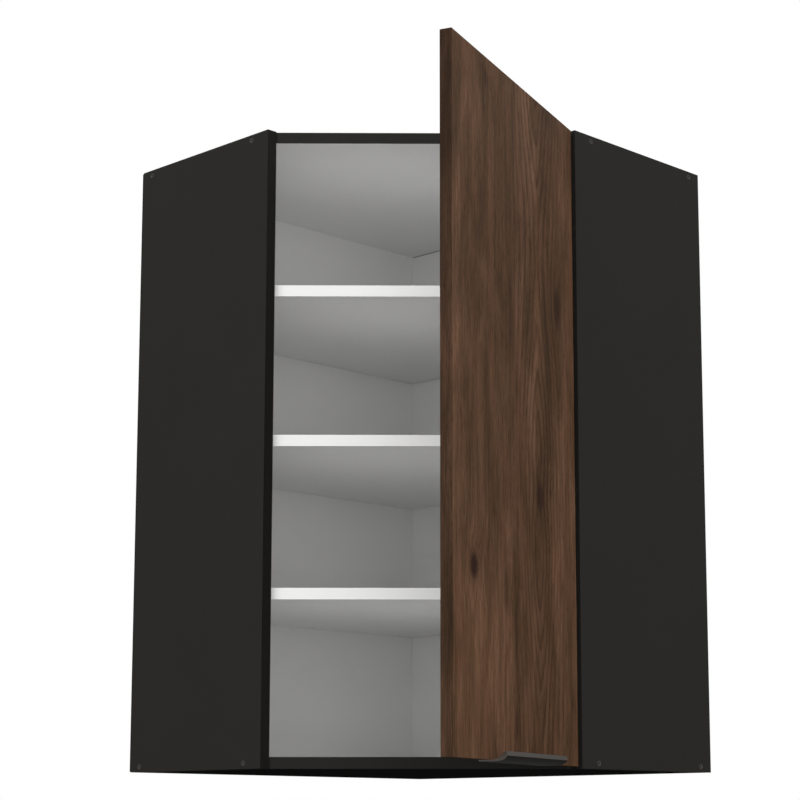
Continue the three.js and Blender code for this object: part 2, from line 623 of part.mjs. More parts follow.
function hangerCutters() {
  const middle = HANGER_THICKNESS / 2;
  const half = HOOK_PLATE / 2 + GAP;
  const slot = block(
    [HANGER_FROM_WALL - LEAD, HANGER_FROM_WALL + HOOK_INSIDE + GAP],
    [hookTop - HOOK_BAR - GAP, hookTop + GAP], [middle - half, middle + half],
  );
  const wells = [-1, 1].map((side) => rod(
    WOOD_SCREW.head + HANGER_WELL_MARGIN, [GAP + HANGER_FLOOR, HANGER_THICKNESS + LEAD],
  ).translate(
    hangerMiddle + side * HANGER_SCREW_STAGGER,
    hangerTop - HANGER_HEIGHT / 2 + side * HANGER_SCREW_SPACING / 2, 0,
  ));
  return [slot, ...wells];
}

function hangerHook() {
  const under = hookTop - HOOK_BAR;
  const inner = HANGER_FROM_WALL + HOOK_INSIDE;
  const outline = [
    [HOOK_FROM_WALL, hookTop], [inner, hookTop], [inner, under], [HOOK_FROM_WALL + HOOK_LIP, under],
    [HOOK_FROM_WALL + HOOK_LIP, hookFoot], [HOOK_FROM_WALL, hookFoot],
  ];
  return prism(outline, [HANGER_THICKNESS / 2 - HOOK_PLATE / 2, HANGER_THICKNESS / 2 + HOOK_PLATE / 2]);
}

function buildHangers() {
  for (const [side, frame] of [['left', leftPanelFrame], ['right', rightPanelFrame]]) {
    const housing = placed(carved(hangerHousing(), hangerCutters()), frame);
    add(`hanger_${side}`, carved(housing, holesIn(`hanger_${side}`)), plastic, carcass);
    add(`hanger_hook_${side}`, placed(hangerHook(), frame), zinc, carcass);
  }
}

fastenCarcass();
fastenShelfPins();
fastenHinges();
fastenHandle();
fastenHangers();
buildSides();
buildDecks();
buildBacks();
buildShelves();
buildDoor();
buildHandle();
buildHinges();
buildHangers();

export default cabinet;
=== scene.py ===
"""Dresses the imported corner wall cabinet: materials, small trim, studio light and the camera.

Lengths are in metres."""

import json
import math

import bmesh
import bpy
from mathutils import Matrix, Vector


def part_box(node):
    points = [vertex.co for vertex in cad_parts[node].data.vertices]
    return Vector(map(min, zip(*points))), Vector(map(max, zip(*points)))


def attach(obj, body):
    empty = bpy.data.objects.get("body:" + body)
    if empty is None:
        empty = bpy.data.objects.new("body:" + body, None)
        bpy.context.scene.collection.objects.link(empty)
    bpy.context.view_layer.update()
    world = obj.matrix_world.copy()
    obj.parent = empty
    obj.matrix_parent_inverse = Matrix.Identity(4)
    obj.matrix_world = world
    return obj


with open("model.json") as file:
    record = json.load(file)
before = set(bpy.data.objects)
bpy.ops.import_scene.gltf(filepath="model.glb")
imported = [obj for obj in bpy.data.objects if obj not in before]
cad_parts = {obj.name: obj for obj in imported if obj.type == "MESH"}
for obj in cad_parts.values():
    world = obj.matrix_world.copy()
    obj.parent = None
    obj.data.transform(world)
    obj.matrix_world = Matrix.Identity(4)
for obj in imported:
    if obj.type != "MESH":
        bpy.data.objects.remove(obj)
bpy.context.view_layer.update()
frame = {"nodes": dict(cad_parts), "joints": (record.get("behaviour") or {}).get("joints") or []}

# ---------------------------------------------------------------- the cabinet's places, from the frame
# It stands along two walls at right angles: U is the distance from the left wall, V from the right wall.
ALONG_U = Vector((1, -1, 0)).normalized()
ALONG_V = Vector((-1, -1, 0)).normalized()
ALONG = (ALONG_U, ALONG_V)
U, V = 0, 1


def plan(point):
    """The U and the V of a point in the model's frame."""
    return point.dot(ALONG_U), point.dot(ALONG_V)


def reach(node, along):
    """How far a CAD node reaches along U or along V."""
    return max(plan(vertex.co)[along] for vertex in frame["nodes"][node].data.vertices)


def lowest(node):
    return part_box(node)[0]


def highest(node):
    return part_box(node)[1]


HEIGHT = highest("top_panel").z
CEILING = lowest("top_panel").z
FLOOR = highest("bottom_panel").z
DECK_FRONT = lowest("top_panel").y
WALL_RUN = reach("side_panel_right", U)
INNER_FACE = WALL_RUN - FLOOR  # the side panels are as thick as the bottom panel
SIDE_DEPTH = reach("side_panel_right", V)
BACK_BOARD_FACE = reach("back_panel_right", V)

door_joint = next(joint for joint in frame["joints"] if joint["name"] == "door_hinge")
DOOR_PIVOT = Vector(door_joint["pos_m"])
DOOR_OPEN = -door_joint["range_deg"][0]  # degrees; the joint's lower limit is the shut door
OPEN_ANGLE = math.radians(DOOR_OPEN)
FREE_EDGE = Vector((-math.cos(OPEN_ANGLE), -math.sin(OPEN_ANGLE), 0))  # from the pivot along the door


# ---------------------------------------------------------------- node helper
NOISE_LOW, NOISE_HIGH = 0.3, 0.7  # most of a noise's values lie between these


def is_list(value):
    return hasattr(value, "__len__")


def varied(colour, share):
    return [part * share for part in colour]


class Shade:
    """A node material: each call that makes a node gives back its main output."""

    def __init__(self, name):
        self.material = bpy.data.materials.new(name)
        self.material.use_nodes = True
        self.tree = self.material.node_tree
        self.tree.nodes.clear()
        out = self.tree.nodes.new("ShaderNodeOutputMaterial")
        self.shader = self.tree.nodes.new("ShaderNodeBsdfPrincipled")
        self.tree.links.new(self.shader.outputs[0], out.inputs[0])
        self.position = self.tree.nodes.new("ShaderNodeTexCoord").outputs["Object"]

    def put(self, socket, value):
        """Links or sets a socket; a single number fills a vector, and a colour gets its alpha."""
        if isinstance(value, bpy.types.NodeSocket):
            self.tree.links.new(value, socket)
        elif is_list(socket.default_value) and not is_list(value):
            socket.default_value = [value] * len(socket.default_value)
        elif is_list(value) and len(socket.default_value) == 4 and len(value) == 3:
            socket.default_value = (*value, 1)
        else:
            socket.default_value = value

    def set(self, **values):
        """Sets the shader's inputs: base_color is its Base Color, and so on."""
        for name, value in values.items():
            self.put(self.shader.inputs[name.replace("_", " ").title().replace("Ior", "IOR")], value)

    def math(self, kind, a, b=None, c=None, clamp=False):
        node = self.tree.nodes.new("ShaderNodeMath")
        node.operation, node.use_clamp = kind, clamp
        for socket, value in zip(node.inputs, (a, b, c)):
            if value is not None:
                self.put(socket, value)
        return node.outputs[0]

    def sum(self, values):
        total = values[0]
        for value in values[1:]:
            total = self.math("ADD", total, value)
        return total

    def weighted(self, *pairs):
        """The sum of the values, each times its weight."""
        return self.sum([self.math("MULTIPLY", value, weight) for value, weight in pairs])

    def centred(self, noise):
        return self.math("SUBTRACT", noise, 0.5)

    def offset(self, value, centre, half):
        """How far a value is from a centre, in units of a half width."""
        return self.math("DIVIDE", self.math("SUBTRACT", value, centre), half)

    def radius_squared(self, offsets):
        return self.sum([self.math("MULTIPLY", offset, offset) for offset in offsets])

    def hump(self, *offsets, fall=-1.0):
        """A soft bell of the given offsets, each already in units of the bell's own half width."""
        return self.math("EXPONENT", self.math("MULTIPLY", self.radius_squared(offsets), fall))

    def flat_hump(self, *offsets, fall):
        """A bell with a flat top and quick sides."""
        radius = self.radius_squared(offsets)
        return self.math("EXPONENT", self.math("MULTIPLY", self.math("MULTIPLY", radius, radius), fall))

    def mapped(self, vector, scale=(1, 1, 1), turn=(0, 0, 0), move=(0, 0, 0)):
        node = self.tree.nodes.new("ShaderNodeMapping")
        self.put(node.inputs["Vector"], vector)
        node.inputs["Location"].default_value = move
        node.inputs["Rotation"].default_value = [math.radians(angle) for angle in turn]
        node.inputs["Scale"].default_value = scale
        return node.outputs[0]

    def split(self, vector):
        node = self.tree.nodes.new("ShaderNodeSeparateXYZ")
        self.put(node.inputs[0], vector)
        return node.outputs

    def join(self, x, y, z):
        node = self.tree.nodes.new("ShaderNodeCombineXYZ")
        for socket, value in zip(node.inputs, (x, y, z)):
            self.put(socket, value)
        return node.outputs[0]

    def noise(self, vector, scale, detail=2.0, rough=0.5, twist=0.0, start=0.0):
        """Fractal noise of about 0..1 whose features are 1/scale metres along each axis."""
        node = self.tree.nodes.new("ShaderNodeTexNoise")
        scale = scale if is_list(scale) else (scale,) * 3
        self.put(node.inputs["Vector"], self.mapped(vector, scale, move=(start, 0, 0)))
        node.inputs["Scale"].default_value = 1
        node.inputs["Detail"].default_value = detail
        node.inputs["Roughness"].default_value = rough
        node.inputs["Distortion"].default_value = twist
        return node.outputs[0]

    def cells(self, vector, scale):
        node = self.tree.nodes.new("ShaderNodeTexVoronoi")
        self.put(node.inputs["Vector"], self.mapped(vector, scale))
        node.inputs["Scale"].default_value = 1
        return node.outputs

    def span(self, value, low, high, to_low=0.0, to_high=1.0, smooth=False):
        """Maps low..high to to_low..to_high and holds what lies outside."""
        node = self.tree.nodes.new("ShaderNodeMapRange")
        node.interpolation_type = "SMOOTHSTEP" if smooth else "LINEAR"
        for socket, number in zip(node.inputs, (value, low, high, to_low, to_high)):
            self.put(socket, number)
        return node.outputs[0]

    def ramp(self, value, stops):
        node = self.tree.nodes.new("ShaderNodeValToRGB")
        self.put(node.inputs[0], value)
        points = node.color_ramp.elements
        while len(points) < len(stops):
            points.new(0.5)
        for point, (at, colour) in zip(points, stops):
            point.position, point.color = at, (*colour, 1)
        return node.outputs[0]

    def varying(self, noise, low, high):
        """A number that goes from low to high with a noise."""
        return self.span(noise, NOISE_LOW, NOISE_HIGH, low, high)

    def cloudy(self, noise, colour, low_share, high_share):
        """A colour that goes from low_share to high_share of itself with a noise."""
        stops = [(NOISE_LOW, varied(colour, low_share)), (NOISE_HIGH, varied(colour, high_share))]
        return self.ramp(noise, stops)

    def mix(self, share, a, b):
        node = self.tree.nodes.new("ShaderNodeMix")
        node.data_type = "RGBA"
        self.put(node.inputs[0], share)
        self.put(node.inputs[6], a)
        self.put(node.inputs[7], b)
        return node.outputs[2]

    def bump(self, height, depth, strength):
        node = self.tree.nodes.new("ShaderNodeBump")
        node.inputs["Distance"].default_value = depth
        node.inputs["Strength"].default_value = strength
        self.put(node.inputs["Height"], height)
        return node.outputs[0]


# ---------------------------------------------------------------- board materials
# Painted shade: a dark strip on the ceiling along its crease with the right back board.
GAP_SHADE_COLOUR = (0.02, 0.02, 0.02)
GAP_SHADE_FADE = 0.0008  # over this distance the painted shade of the gap above the back board gives way to the ceiling


def painted_shade_over_back_board(s, colour):
    """Paints shade on the strip above the right back board, where the gap between the two gets no light."""
    x, y, _ = s.split(s.position)
    from_wall = s.math("MULTIPLY", s.math("ADD", x, y), -1 / math.sqrt(2))
    return s.mix(s.span(from_wall, BACK_BOARD_FACE - GAP_SHADE_FADE, BACK_BOARD_FACE), GAP_SHADE_COLOUR, colour)


def melamine(name, colour, rough=0.55, level=0.3, clouding=0.02, painted_gap_shade=False):
    """Printed and pressed board facing: a fine pearl, faint clouding and a little handling sheen."""
    s = Shade(name)
    cloud = s.noise(s.position, 9, detail=4, rough=0.6)
    speck = s.noise(s.position, 1400, detail=2, rough=0.6)
    face = s.cloudy(s.weighted((cloud, 0.5), (speck, 0.5)), colour, 1 - clouding, 1 + clouding)
    smear = s.noise(s.position, (5, 5, 2), detail=5, rough=0.65, twist=0.4)
    pearl = s.noise(s.position, 2600, detail=3, rough=0.6)
    s.set(
        base_color=painted_shade_over_back_board(s, face) if painted_gap_shade else face,
        roughness=s.varying(smear, rough - 0.06, rough + 0.07),
        specular_ior_level=level,
        normal=s.bump(pearl, depth=0.00006, strength=0.35),
    )
    return s.material


def chipboard():
    """The raw core: pressed flakes in straw and brown."""
    s = Shade("raw_chipboard")
    flakes = s.cells(s.position, (420, 420, 700))
    tint = s.tree.nodes.new("ShaderNodeSeparateColor")
    s.put(tint.inputs[0], flakes["Color"])
    fine = s.noise(s.position, 1500, detail=3, rough=0.7)
    colours = s.ramp(s.weighted((tint.outputs[0], 0.7), (fine, 0.35)), [
        (0.12, (0.075, 0.043, 0.022)),
        (0.40, (0.240, 0.160, 0.090)),
        (0.70, (0.380, 0.270, 0.165)),
        (0.95, (0.520, 0.400, 0.260)),
    ])
    s.set(
        base_color=colours,
        roughness=s.varying(fine, 0.75, 0.95),
        specular_ior_level=0.25,
        normal=s.bump(s.math("ADD", flakes["Distance"], fine), depth=0.0004, strength=0.8),
    )
    return s.material


def fibreboard():
    """Bare hardboard: matted brown fibres with darker specks."""
    s = Shade("bare_fibreboard")
    swirl = s.noise(s.position, 22, detail=5, rough=0.7, twist=0.2)
    diagonal = s.mapped(s.position, turn=(0, 0, 45))
    lying = s.noise(diagonal, (300, 300, 1300), detail=3, rough=0.65, twist=1.5)
    upright = s.noise(s.position, (1500, 1500, 260), detail=3, rough=0.65, twist=1.5)
    fibres = s.math("MAXIMUM", lying, upright)
    plain = s.ramp(s.weighted((swirl, 0.18), (fibres, 0.82)), [
        (0.3, (0.115, 0.062, 0.030)),
        (0.5, (0.215, 0.128, 0.068)),
        (0.7, (0.315, 0.205, 0.118)),
    ])
    speck = s.span(s.noise(s.position, 520), 0.68, 0.76)
    s.set(
        base_color=s.mix(speck, plain, (0.060, 0.033, 0.018)),
        roughness=s.span(fibres, 0.3, 0.8, 0.9, 0.72),
        specular_ior_level=0.2,
        normal=s.bump(fibres, depth=0.0002, strength=0.8),
    )
    return s.material


# ---------------------------------------------------------------- walnut decor
# Marks in the decor: across the door from its pivot, height, half width, half height, darkness.
KNOTS = [
    (-0.348, 0.236, 0.0115, 0.016, 1.00), (-0.123, 0.352, 0.0150, 0.018, 0.66),
    (-0.057, 0.626, 0.0110, 0.028, 0.66), (-0.305, 0.871, 0.0070, 0.012, 0.45),
    (-0.246, 0.215, 0.0055, 0.030, 0.40), (-0.212, 0.050, 0.0045, 0.022, 0.45),
]
DARK_PATCHES = [
    (-0.197, 0.690, 0.014, 0.070, 0.30), (-0.236, 0.540, 0.016, 0.055, 0.36),
    (-0.240, 0.440, 0.014, 0.045, 0.34), (-0.236, 0.335, 0.016, 0.030, 0.34),
    (-0.400, 0.580, 0.014, 0.050, 0.30), (-0.110, 0.440, 0.020, 0.070, 0.22),
    (-0.128, 0.200, 0.018, 0.080, 0.22), (-0.128, 0.060, 0.020, 0.050, 0.26),
    (-0.100, 0.760, 0.020, 0.060, 0.22), (-0.172, 0.660, 0.022, 0.220, 0.20),
    (-0.236, 0.740, 0.022, 0.110, 0.14), (-0.057, 0.320, 0.025, 0.120, 0.10),
]
LIGHT_PATCHES = [
    (-0.370, 0.090, 0.060, 0.120, -0.20), (-0.290, 0.140, 0.030, 0.200, -0.05),
    (0.000, 0.100, 0.050, 0.200, -0.14), (-0.172, 0.100, 0.022, 0.100, -0.12),
]
# Columns run over the door's whole height: across the door from its pivot, half width, darkness.
COLUMNS = [(-0.094, 0.022, 0.21), (-0.213, 0.014, 0.08), (0.012, 0.008, -0.15), (-0.370, 0.050, -0.08)]

# How quickly a knot's core, its stain and the bend of the grain fade outwards, and how strong they are.
CORE_FALL = -0.9
CORE_LIMIT = 0.92  # the most of the core's colour that shows
STAIN_FALL = -0.16
STAIN_SHARE = 0.45  # of the knot's darkness
BEND_FALL = -0.12
BEND_SHARE = 1.6  # of the knot's half width

HEART = -0.128  # across the door from its pivot, where the growth layers arch
HEART_WIDTH = 0.048
HEART_FALL = -0.5
HEART_ROUNDING = 0.00006  # square metres; rounds the layers' tip on the heart line
LAYER = 0.0125  # from one growth layer to the next
LAYER_RAGGED = 0.012
LATE_RISE = (0.35, 0.92)  # the part of a layer over which its late wood darkens, and where it ends
LATE_END = (1.0, 0.93)
ARCH_FROM = 0.17  # the height where the arches begin
ARCH_PITCH = 0.68
ARCH_LIFT = 0.026
UPRIGHT_DARK = 0.14  # the late wood away from the heart line, and on it
ARCHED_DARK = 0.46

SWAY = 0.02  # how far the grain strays sideways, and the patches' outlines
PATCH_SWAY = 0.03
BANDS_FROM = 71.06  # where in the endless noise the broad bands and the patches are taken
PATCHES_FROM = 41.8
PORE_DARK = 0.34

GRAIN_COLOURS = [
    (0.41, (0.046, 0.0238, 0.0112)), (0.47, (0.077, 0.0398, 0.0200)),
    (0.53, (0.110, 0.0562, 0.0305)), (0.59, (0.160, 0.0840, 0.0490)),
]
REDDISH = (0.145, 0.060, 0.033)
LATE_COLOUR = (0.030, 0.0152, 0.0070)
KNOT_COLOUR = (0.021, 0.0090, 0.0060)


def door_directions(s):
    """The shading point in the door's own directions: X across it from its pivot, Z up."""
    cosine, sine = math.cos(-OPEN_ANGLE), math.sin(-OPEN_ANGLE)
    x = DOOR_PIVOT.x * cosine - DOOR_PIVOT.y * sine
    y = DOOR_PIVOT.x * sine + DOOR_PIVOT.y * cosine
    return s.mapped(s.position, turn=(0, 0, -DOOR_OPEN), move=(-x, -y, 0))


def knot_fields(s, across, z):
    """The knots' dark cores, the stain round them, and how far the grain bends past them."""
    cores, stains, bends = [], [], []
    for knot_x, knot_z, half_wide, half_high, dark in KNOTS:
        offsets = (s.offset(across, knot_x, half_wide), s.offset(z, knot_z, half_high))
        core = s.flat_hump(*offsets, fall=CORE_FALL)
        stain = s.hump(*offsets, fall=STAIN_FALL)
        bend = s.hump(*offsets, fall=BEND_FALL)
        cores.append(s.math("MULTIPLY", core, dark))
        stains.append(s.math("MULTIPLY", stain, dark * STAIN_SHARE))
        bends.append(s.math("MULTIPLY", bend, half_wide * dark * BEND_SHARE))
    return s.sum(cores), s.sum(stains), s.sum(bends)


def late_wood(s, bent, across, z, push):
    """Growth layers, arched near the heart line and upright elsewhere; darker where they arch."""
    off = s.math("SUBTRACT", across, HEART)
    window = s.hump(s.math("DIVIDE", off, HEART_WIDTH), fall=HEART_FALL)
    above = s.math("SUBTRACT", z, ARCH_FROM)
    wave = s.math("SINE", s.math("MULTIPLY", above, 2 * math.pi / ARCH_PITCH))
    lift = s.math("MULTIPLY", s.math("MULTIPLY", wave, -ARCH_LIFT), window)
    from_heart = s.math("SQRT", s.math("ADD", s.math("MULTIPLY", off, off), HEART_ROUNDING))
    unevenness = s.centred(s.noise(bent, (30, 30, 5), detail=3, rough=0.6))
    ragged = s.math("MULTIPLY", unevenness, LAYER_RAGGED)
    ring = s.math("FRACT", s.math("DIVIDE", s.sum([from_heart, lift, ragged, push]), LAYER))
    late = s.math("MULTIPLY", s.span(ring, *LATE_RISE, smooth=True), s.span(ring, *LATE_END))
    return s.math("MULTIPLY", late, s.span(window, 0.0, 0.7, UPRIGHT_DARK, ARCHED_DARK))


def marks(s, across, z):
    """Broad darker and lighter places: patches of either kind, and columns over the whole height."""
    stray = s.centred(s.noise(s.join(across, 0, z), (40, 1, 9), detail=3, rough=0.6))
    soft = s.math("MULTIPLY_ADD", stray, PATCH_SWAY, across)
    fields = []
    for mark_x, mark_z, half_wide, half_high, dark in DARK_PATCHES + LIGHT_PATCHES:
        patch = s.hump(s.offset(soft, mark_x, half_wide), s.offset(z, mark_z, half_high))
        fields.append(s.math("MULTIPLY", patch, dark))
    for column_x, half_wide, dark in COLUMNS:
        column = s.hump(s.offset(across, column_x, half_wide))
        fields.append(s.math("MULTIPLY", column, dark))
    return s.sum(fields)


def grain(s, bent):
    """The upright figure: its tone, and its streaks, lines and pores by themselves."""
    bands = s.noise(bent, (24, 24, 1.6), rough=0.55, start=BANDS_FROM)
    patches = s.noise(bent, (20, 20, 5), detail=3, rough=0.55, twist=0.8, start=PATCHES_FROM)
    streaks = s.noise(bent, (230, 230, 9), detail=3, rough=0.7)
    lines = s.noise(bent, (620, 620, 40), detail=3, rough=0.65)
    pores = s.span(s.noise(bent, (700, 700, 85)), 0.55, 0.66)
    tone = s.weighted((bands, 0.18), (patches, 0.34), (streaks, 0.26), (lines, 0.22))
    return tone, streaks, lines, pores


def walnut(name, gain=1.0):
    """Walnut decor with upright grain, the same on both faces of the door."""
    s = Shade(name)
    place = door_directions(s)
    x, y, z = s.split(place)
    across = s.math("MULTIPLY_ADD", s.centred(s.noise(place, (4, 4, 2.4))), SWAY, x)
    cores, stains, push = knot_fields(s, across, z)
    bent = s.join(s.math("ADD", across, push), y, z)
    tone, streaks, lines, pores = grain(s, bent)

    colours = s.ramp(tone, [(at, varied(colour, gain)) for at, colour in GRAIN_COLOURS])
    red = s.span(s.noise(bent, (30, 30, 3.5), detail=3, rough=0.6), 0.45, 0.7, 0.0, 0.35)
    colours = s.mix(red, colours, s.mix(0.5, colours, varied(REDDISH, gain)))
    pore_shade = s.math("MULTIPLY", pores, PORE_DARK)
    shade = s.sum([late_wood(s, bent, across, z, push), pore_shade, marks(s, across, z)])
    shade = s.math("ADD", shade, stains, clamp=True)
    colours = s.mix(shade, colours, varied(LATE_COLOUR, gain))
    colours = s.mix(s.math("MINIMUM", cores, CORE_LIMIT), colours, varied(KNOT_COLOUR, gain))
    dullness = s.math("ADD", s.math("MULTIPLY", pores, 0.5), streaks)
    relief = s.math("SUBTRACT", s.math("MULTIPLY", lines, 0.5), s.math("MULTIPLY", pores, 0.9))
    s.set(
        base_color=colours,
        roughness=s.span(dullness, 0.3, 1.0, 0.50, 0.68),
        specular_ior_level=0.06,
        normal=s.bump(relief, depth=0.00018, strength=0.6),
    )
    return s.material


# ---------------------------------------------------------------- metal and plastic
def metal(name, colour, rough, fineness, turn=0, spread=0.12):
    """Metal with fine marks, as many to the metre along each axis as fineness says, turned about Z."""
    s = Shade(name)
    drawn = s.noise(s.mapped(s.position, turn=(0, 0, turn)), fineness, detail=4, rough=0.7)
    cloud = s.noise(s.position, 12, detail=3, rough=0.6)
    tone = s.weighted((drawn, 0.7), (cloud, 0.3))
    s.set(
        metallic=1.0,
        base_color=s.cloudy(tone, colour, 0.88, 1.12),
        roughness=s.varying(tone, rough - spread / 2, rough + spread / 2),
        normal=s.bump(drawn, depth=0.00002, strength=0.5),
    )
    return s.material


def plastic(name, colour, rough):
    """Moulded plastic with a fine spark-eroded grain."""
    s = Shade(name)
    grain = s.noise(s.position, 1800, detail=3, rough=0.6)
    cloud = s.noise(s.position, 40, detail=3, rough=0.6)
    s.set(
        base_color=s.cloudy(cloud, colour, 0.93, 1.05),
        roughness=s.varying(grain, rough - 0.06, rough + 0.08),
        specular_ior_level=0.4,
        normal=s.bump(grain, depth=0.00008, strength=0.5),
    )
    return s.material


graphite = melamine("graphite_melamine", (0.0146, 0.0139, 0.0124), rough=0.58, level=0.08, clouding=0.06)
# a much darker copy of the graphite melamine: painted shade on the cabinet's underside
underside = melamine("shaded_underside", (0.0042, 0.0041, 0.0038), rough=0.75, level=0.05)
# the edge banding and rims, darker than the graphite faces as painted shade
edge_band_and_shade = melamine("graphite_edge_band_painted_shade", (0.0080, 0.0076, 0.0067), level=0.08, clouding=0.05)
white = melamine("white_melamine", (0.89, 0.89, 0.885), rough=0.5)
# white melamine with a painted shade strip along the crease above the right back board
white_ceiling_painted_shade = melamine("white_ceiling_painted_shade", (0.89, 0.89, 0.885), rough=0.5, painted_gap_shade=True)
# darker than the white melamine: the shelves' edge banding, darkened as painted shade
white_band_and_shade = melamine("white_edge_band_painted_shade", (0.62, 0.62, 0.616), rough=0.42)
lacquer = melamine("white_lacquered_face", (0.88, 0.88, 0.875))
raw = chipboard()
fibre = fibreboard()
wood = walnut("walnut_decor")
# a darker copy of the walnut decor: the door's free edge and the chamfer beside it, darkened as painted shade
wood_edge_and_shade = walnut("walnut_edging_painted_shade", gain=0.37)
anodised = metal("anodised_graphite", (0.165, 0.148, 0.132), 0.30, (14, 1800, 1800), -DOOR_OPEN, 0.06)
nickel = metal("nickel_plate", (0.52, 0.50, 0.46), 0.28, (500, 500, 500))
zinc = metal("zinc_plate", (0.36, 0.35, 0.33), 0.42, (300, 300, 300), spread=0.2)
cap = plastic("graphite_cap", (0.025, 0.024, 0.022), 0.6)
housing = plastic("white_moulding", (0.74, 0.73, 0.70), 0.45)


# ---------------------------------------------------------------- dressing the CAD nodes
NEAR = 0.0004  # how close a face has to be to a plane to count as on it
SIDE_FRONT_ZONE = 0.02  # behind the side panels' front edge
DECK_FRONT_ZONE = 0.002  # behind the decks' front edge
CAP_DEPTH = 0.003  # under the side panels' outer faces

FACING = 0.95  # the least share of a direction in a normal that faces it
LEVEL = 0.9  # the same for the shelves' level faces
EDGING = 0.6  # the same for the door's free edge, with the chamfer beside it
SQUARE = 0.1  # the greatest share of a direction in a normal that is square to it


def dress(name, *choices):
    """Gives a node its materials: (material, test) pairs, then the material for the rest."""
    mesh = frame["nodes"][name].data
    mesh.materials.clear()
    *tests, rest = choices
    for material, _ in tests:
        mesh.materials.append(material)
    mesh.materials.append(rest)
    for face in mesh.polygons:
        passed = [i for i, (_, test) in enumerate(tests) if test(face.center, face.normal)]
        face.material_index = passed[0] if passed else len(tests)


def dress_side(side, across):
    """One side panel, whose two large faces look along U or along V, as across says."""
    def inner(centre, normal):
        return normal.dot(ALONG[across]) < -FACING and abs(plan(centre)[across] - INNER_FACE) < NEAR

    def outer(centre, normal):
        return normal.dot(ALONG[across]) > FACING and abs(plan(centre)[across] - WALL_RUN) < NEAR

    def rim(centre, normal):
        return abs(normal.z) > FACING and (centre.z < NEAR or centre.z > HEIGHT - NEAR)

    def front(centre, normal):
        return abs(normal.z) < SQUARE and plan(centre)[1 - across] > SIDE_DEPTH - SIDE_FRONT_ZONE

    dress(f"side_panel_{side}", (white, inner), (graphite, outer), (edge_band_and_shade, rim), (edge_band_and_shade, front), raw)


def dress_carcass_screws(side, across):
    """The screws in one side panel, with a dark cap on each head."""
    def head(centre, _):
        return plan(centre)[across] > WALL_RUN - CAP_DEPTH

    for name in frame["nodes"]:
        if name.startswith(f"confirmat_{side}_"):
            dress(name, (cap, head), zinc)


def dress_decks():
    def top(centre, normal):
        return normal.z > FACING and centre.z > HEIGHT - NEAR

    def ceiling(centre, normal):
        return normal.z < -FACING and abs(centre.z - CEILING) < NEAR

    def floor(centre, normal):
        return normal.z > FACING and abs(centre.z - FLOOR) < NEAR

    def under(centre, normal):
        return normal.z < -FACING and centre.z < NEAR

    def front(centre, normal):
        return normal.y < -FACING and centre.y < DECK_FRONT + DECK_FRONT_ZONE

    dress("top_panel", (white_ceiling_painted_shade, ceiling), (graphite, top), (edge_band_and_shade, front), raw)
    dress("bottom_panel", (white, floor), (underside, under), (edge_band_and_shade, front), raw)


def dress_backs():
    def sheet_face(_, normal):
        return normal.dot(ALONG_U) > FACING

    def sheet_edge(_, normal):
        return abs(normal.dot(ALONG_U)) < SQUARE

    def board_face(_, normal):
        return abs(normal.dot(ALONG_V)) > FACING

    dress("back_panel_left", (lacquer, sheet_face), (edge_band_and_shade, sheet_edge), fibre)
    dress("back_panel_right", (white, board_face), raw)


def dress_shelves():
    def level_face(_, normal):
        return abs(normal.z) > LEVEL

    for name in ("shelf_1", "shelf_2", "shelf_3"):
        dress(name, (white, level_face), white_band_and_shade)


def dress_door():
    def free_edge(_, normal):
        return normal.dot(FREE_EDGE) > EDGING

    dress("door", (wood_edge_and_shade, free_edge), wood)
    dress("handle", anodised)


def dress_fittings():
    for name in frame["nodes"]:
        if "screw" in name or "hook" in name:
            dress(name, zinc)
        elif name.startswith("hinge_") or "_pin_" in name:
            dress(name, nickel)
        elif name.startswith("hanger_"):
            dress(name, housing)


for side, across in (("left", V), ("right", U)):
    dress_side(side, across)
    dress_carcass_screws(side, across)
dress_decks()
dress_backs()
dress_shelves()
dress_door()
dress_fittings()


# ---------------------------------------------------------------- nails of the hardboard back
NAIL_RADIUS = 0.0019
NAIL_HEIGHT = 0.0007
NAIL_SINK = 0.0002  # the head's base, under the hardboard's surface
NAIL_DOME = ((1, 0.45), (0.8, 0.85), (0.4, 1))  # shares of the radius and of the height, going up
NAIL_SIDES = 14
NAIL_INSET = 0.009  # from the side panel's outer face, and from the top and the underside
CORNER_INSET = 0.0115  # from the right wall, near the middle of the back board's edge
NAIL_LEVELS = (0.060, 0.190, 0.320, 0.450, 0.580, 0.710)
HIGHEST_AT_SIDE = 0.805  # under the window of the hanging bracket
HIGHEST_AT_CORNER = 0.840
NAILS_ALONG_DECKS = (0.07, 0.19, 0.31, 0.43, 0.53)


def piece(name, build_mesh, materials, body):
    """A new mesh piece from a bmesh builder, riding on a CAD body."""
    bm = bmesh.new()
    build_mesh(bm)
    mesh = bpy.data.meshes.new(name)
    bm.to_mesh(mesh)
    bm.free()
    for material in materials:
        mesh.materials.append(material)
    made = bpy.data.objects.new(name, mesh)
    bpy.context.scene.collection.objects.link(made)
    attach(made, body)
    return made


def nail_head(bm, at, out):
    """A low domed nail head on a surface, its base sunk a hair into it."""
    side = out.orthogonal().normalized()
    other = out.cross(side)
    angles = [2 * math.pi * step / NAIL_SIDES for step in range(NAIL_SIDES)]
    spokes = [side * math.cos(angle) + other * math.sin(angle) for angle in angles]
    rings = [(NAIL_RADIUS, -NAIL_SINK)]
    rings += [(NAIL_RADIUS * wide, NAIL_HEIGHT * high) for wide, high in NAIL_DOME]
    loops = [[bm.verts.new(at + out * level + spoke * radius) for spoke in spokes] for radius, level in rings]
    for low, high in zip(loops, loops[1:]):
        for k in range(NAIL_SIDES):
            following = (k + 1) % NAIL_SIDES
            bm.faces.new((low[k], low[following], high[following], high[k]))
    bm.faces.new(loops[-1])
    bm.faces.new(list(reversed(loops[0])))


